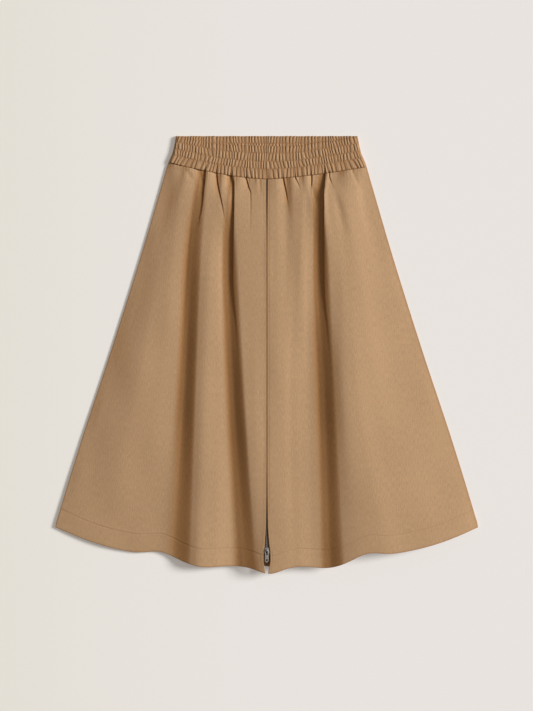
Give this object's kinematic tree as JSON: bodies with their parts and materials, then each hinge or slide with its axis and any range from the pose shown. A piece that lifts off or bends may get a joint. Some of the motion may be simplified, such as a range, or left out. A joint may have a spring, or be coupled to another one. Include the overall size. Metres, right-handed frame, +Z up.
{
  "type": "circle skirt",
  "caption": "Flared midi skirt in tan cotton drill, laid flat face up, with a gathered elastic waistband, a full-length front zip, a turned hem and soft folds.",
  "frame": {"origin": "on the surface that the skirt lies on, under the middle of its box", "axes": "+Z up from the surface, the front of the skirt faces +Z; +Y from the hem to the waist; +X to the right of the skirt as it is seen"},
  "size_m": [0.747, 0.7731, 0.0325],
  "materials": {
    "cotton_drill": "matt tan cotton drill with a fine diagonal weave",
    "gathered_band": "the same drill, gathered on elastic in sewn channels",
    "zip_tape": "woven tape, brown",
    "zip_teeth": "dull metal",
    "slider_metal": "dark dull metal"
  },
  "bodies": {
    "skirt": {"front_panel_left": "cotton_drill", "front_panel_right": "cotton_drill", "back_panel": "cotton_drill", "waistband_front": "gathered_band", "waistband_back": "gathered_band", "zip_tape_left": "zip_tape", "zip_tape_right": "zip_tape", "zip_teeth_left": "zip_teeth", "zip_teeth_right": "zip_teeth", "zip_slider": "slider_metal"},
    "zip_pull": {"zip_pull": "slider_metal"}
  },
  "joints": [
    {"name": "pull_hinge", "type": "hinge", "parent": "skirt", "child": "zip_pull", "pos_m": [0, -0.3451, 0.02773], "axis": [-1, 0, 0], "range_deg": [0, 165]}
  ]
}
